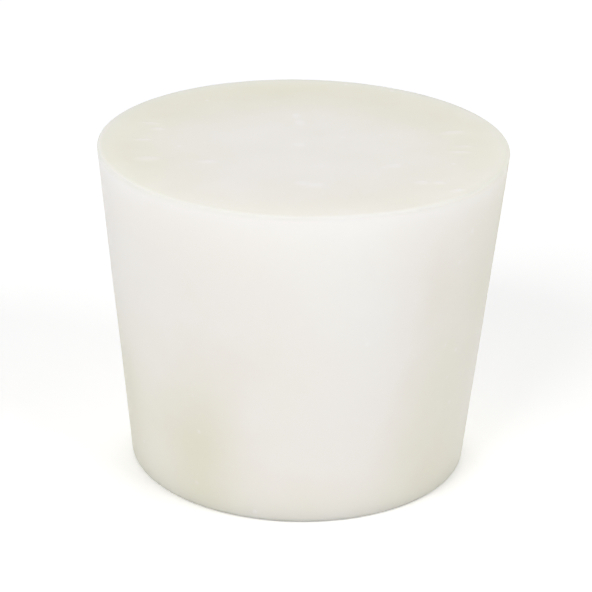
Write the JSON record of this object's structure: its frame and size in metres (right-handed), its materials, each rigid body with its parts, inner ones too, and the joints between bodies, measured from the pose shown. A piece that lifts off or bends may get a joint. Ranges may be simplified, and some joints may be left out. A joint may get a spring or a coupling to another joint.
{
  "type": "rubber stopper",
  "caption": "Solid tapered plug of translucent off-white silicone rubber that closes the neck of a laboratory bottle or flask by friction.",
  "frame": {"origin": "centre of the small end, which the stopper stands on", "axes": "+Z along the stopper's axis, from the small end up to the large end; X and Y are free, because the stopper is round"},
  "size_m": [0.049, 0.049, 0.04],
  "materials": {
    "silicone": "satin, translucent off-white silicone rubber"
  },
  "bodies": {
    "root": {"stopper": "silicone"}
  },
  "joints": []
}
